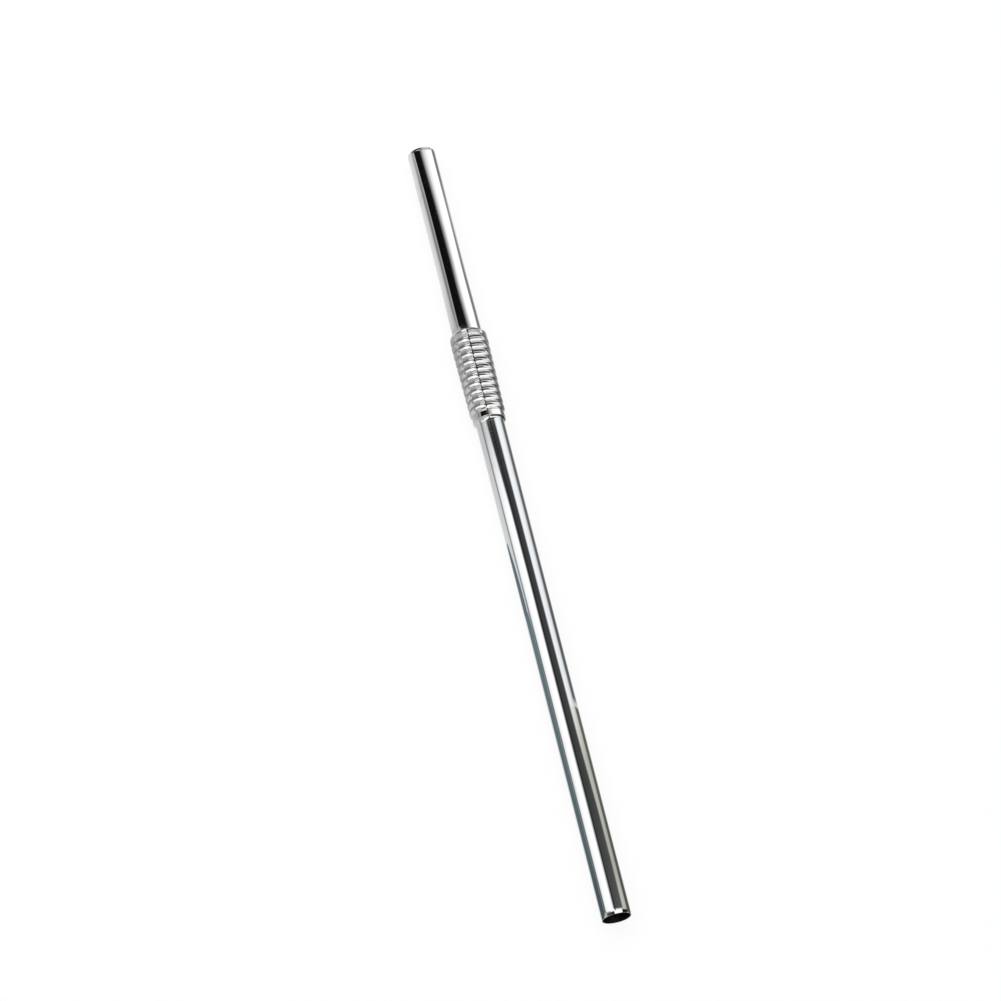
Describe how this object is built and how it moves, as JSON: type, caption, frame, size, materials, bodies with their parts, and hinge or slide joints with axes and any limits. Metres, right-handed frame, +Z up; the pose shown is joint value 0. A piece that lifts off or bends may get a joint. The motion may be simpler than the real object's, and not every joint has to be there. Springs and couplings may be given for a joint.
{
  "type": "drinking straw",
  "caption": "Reusable metal drinking straw: two round tubes joined by a ribbed neck that bends in any direction.",
  "frame": {"origin": "under the middle of the straw, on the surface it lies on", "axes": "+Y along the straw towards the drinking end, +Z up from the surface, +X to the side"},
  "size_m": [0.0108, 0.236, 0.0107],
  "materials": {
    "tube_steel": "mirror-polished stainless tube with fine lengthwise polishing lines",
    "neck_steel": "polished formed ribs, dulled in the grooves",
    "collar_steel": "polished band with fine turning lines",
    "filler_metal": "smooth bright joint filler"
  },
  "bodies": {
    "lower": {"lower_tube": "tube_steel", "lower_bead": "filler_metal", "lower_collar": "collar_steel"},
    "root_01": {"neck_root_01": "neck_steel"},
    "rib_01": {"neck_rib_01": "neck_steel"},
    "root_02": {"neck_root_02": "neck_steel"},
    "rib_02": {"neck_rib_02": "neck_steel"},
    "root_03": {"neck_root_03": "neck_steel"},
    "rib_03": {"neck_rib_03": "neck_steel"},
    "root_04": {"neck_root_04": "neck_steel"},
    "rib_04": {"neck_rib_04": "neck_steel"},
    "root_05": {"neck_root_05": "neck_steel"},
    "rib_05": {"neck_rib_05": "neck_steel"},
    "root_06": {"neck_root_06": "neck_steel"},
    "rib_06": {"neck_rib_06": "neck_steel"},
    "root_07": {"neck_root_07": "neck_steel"},
    "rib_07": {"neck_rib_07": "neck_steel"},
    "root_08": {"neck_root_08": "neck_steel"},
    "rib_08": {"neck_rib_08": "neck_steel"},
    "root_09": {"neck_root_09": "neck_steel"},
    "rib_09": {"neck_rib_09": "neck_steel"},
    "root_10": {"neck_root_10": "neck_steel"},
    "rib_10": {"neck_rib_10": "neck_steel"},
    "root_11": {"neck_root_11": "neck_steel"},
    "upper": {"upper_collar": "collar_steel", "upper_tube": "tube_steel"}
  },
  "joints": [
    {"name": "bend_up_01", "type": "hinge", "parent": "lower", "child": "root_01", "pos_m": [0, 0.03118, 0.00535], "axis": [1, 0, 0], "range_deg": [-4.5, 4.5]},
    {"name": "bend_side_01", "type": "hinge", "parent": "root_01", "child": "rib_01", "pos_m": [0, 0.03118, 0.00535], "axis": [0, 0, 1], "range_deg": [-4.5, 4.5]},
    {"name": "bend_up_02", "type": "hinge", "parent": "rib_01", "child": "root_02", "pos_m": [0, 0.03352, 0.00535], "axis": [1, 0, 0], "range_deg": [-4.5, 4.5]},
    {"name": "bend_side_02", "type": "hinge", "parent": "root_02", "child": "rib_02", "pos_m": [0, 0.03352, 0.00535], "axis": [0, 0, 1], "range_deg": [-4.5, 4.5]},
    {"name": "bend_up_03", "type": "hinge", "parent": "rib_02", "child": "root_03", "pos_m": [0, 0.03585, 0.00535], "axis": [1, 0, 0], "range_deg": [-4.5, 4.5]},
    {"name": "bend_side_03", "type": "hinge", "parent": "root_03", "child": "rib_03", "pos_m": [0, 0.03585, 0.00535], "axis": [0, 0, 1], "range_deg": [-4.5, 4.5]},
    {"name": "bend_up_04", "type": "hinge", "parent": "rib_03", "child": "root_04", "pos_m": [0, 0.03819, 0.00535], "axis": [1, 0, 0], "range_deg": [-4.5, 4.5]},
    {"name": "bend_side_04", "type": "hinge", "parent": "root_04", "child": "rib_04", "pos_m": [0, 0.03819, 0.00535], "axis": [0, 0, 1], "range_deg": [-4.5, 4.5]},
    {"name": "bend_up_05", "type": "hinge", "parent": "rib_04", "child": "root_05", "pos_m": [0, 0.04054, 0.00535], "axis": [1, 0, 0], "range_deg": [-4.5, 4.5]},
    {"name": "bend_side_05", "type": "hinge", "parent": "root_05", "child": "rib_05", "pos_m": [0, 0.04054, 0.00535], "axis": [0, 0, 1], "range_deg": [-4.5, 4.5]},
    {"name": "bend_up_06", "type": "hinge", "parent": "rib_05", "child": "root_06", "pos_m": [0, 0.04288, 0.00535], "axis": [1, 0, 0], "range_deg": [-4.5, 4.5]},
    {"name": "bend_side_06", "type": "hinge", "parent": "root_06", "child": "rib_06", "pos_m": [0, 0.04288, 0.00535], "axis": [0, 0, 1], "range_deg": [-4.5, 4.5]},
    {"name": "bend_up_07", "type": "hinge", "parent": "rib_06", "child": "root_07", "pos_m": [0, 0.04521, 0.00535], "axis": [1, 0, 0], "range_deg": [-4.5, 4.5]},
    {"name": "bend_side_07", "type": "hinge", "parent": "root_07", "child": "rib_07", "pos_m": [0, 0.04521, 0.00535], "axis": [0, 0, 1], "range_deg": [-4.5, 4.5]},
    {"name": "bend_up_08", "type": "hinge", "parent": "rib_07", "child": "root_08", "pos_m": [0, 0.04756, 0.00535], "axis": [1, 0, 0], "range_deg": [-4.5, 4.5]},
    {"name": "bend_side_08", "type": "hinge", "parent": "root_08", "child": "rib_08", "pos_m": [0, 0.04756, 0.00535], "axis": [0, 0, 1], "range_deg": [-4.5, 4.5]},
    {"name": "bend_up_09", "type": "hinge", "parent": "rib_08", "child": "root_09", "pos_m": [0, 0.0499, 0.00535], "axis": [1, 0, 0], "range_deg": [-4.5, 4.5]},
    {"name": "bend_side_09", "type": "hinge", "parent": "root_09", "child": "rib_09", "pos_m": [0, 0.0499, 0.00535], "axis": [0, 0, 1], "range_deg": [-4.5, 4.5]},
    {"name": "bend_up_10", "type": "hinge", "parent": "rib_09", "child": "root_10", "pos_m": [0, 0.05223, 0.00535], "axis": [1, 0, 0], "range_deg": [-4.5, 4.5]},
    {"name": "bend_side_10", "type": "hinge", "parent": "root_10", "child": "rib_10", "pos_m": [0, 0.05223, 0.00535], "axis": [0, 0, 1], "range_deg": [-4.5, 4.5]},
    {"name": "bend_up_11", "type": "hinge", "parent": "rib_10", "child": "root_11", "pos_m": [0, 0.05457, 0.00535], "axis": [1, 0, 0], "range_deg": [-4.5, 4.5]},
    {"name": "bend_side_11", "type": "hinge", "parent": "root_11", "child": "upper", "pos_m": [0, 0.05457, 0.00535], "axis": [0, 0, 1], "range_deg": [-4.5, 4.5]}
  ],
  "couplings": [
    {"joint": "bend_up_02", "follows": "bend_up_01", "ratio": 1},
    {"joint": "bend_side_02", "follows": "bend_side_01", "ratio": 1},
    {"joint": "bend_up_03", "follows": "bend_up_01", "ratio": 1},
    {"joint": "bend_side_03", "follows": "bend_side_01", "ratio": 1},
    {"joint": "bend_up_04", "follows": "bend_up_01", "ratio": 1},
    {"joint": "bend_side_04", "follows": "bend_side_01", "ratio": 1},
    {"joint": "bend_up_05", "follows": "bend_up_01", "ratio": 1},
    {"joint": "bend_side_05", "follows": "bend_side_01", "ratio": 1},
    {"joint": "bend_up_06", "follows": "bend_up_01", "ratio": 1},
    {"joint": "bend_side_06", "follows": "bend_side_01", "ratio": 1},
    {"joint": "bend_up_07", "follows": "bend_up_01", "ratio": 1},
    {"joint": "bend_side_07", "follows": "bend_side_01", "ratio": 1},
    {"joint": "bend_up_08", "follows": "bend_up_01", "ratio": 1},
    {"joint": "bend_side_08", "follows": "bend_side_01", "ratio": 1},
    {"joint": "bend_up_09", "follows": "bend_up_01", "ratio": 1},
    {"joint": "bend_side_09", "follows": "bend_side_01", "ratio": 1},
    {"joint": "bend_up_10", "follows": "bend_up_01", "ratio": 1},
    {"joint": "bend_side_10", "follows": "bend_side_01", "ratio": 1},
    {"joint": "bend_up_11", "follows": "bend_up_01", "ratio": 1},
    {"joint": "bend_side_11", "follows": "bend_side_01", "ratio": 1}
  ]
}
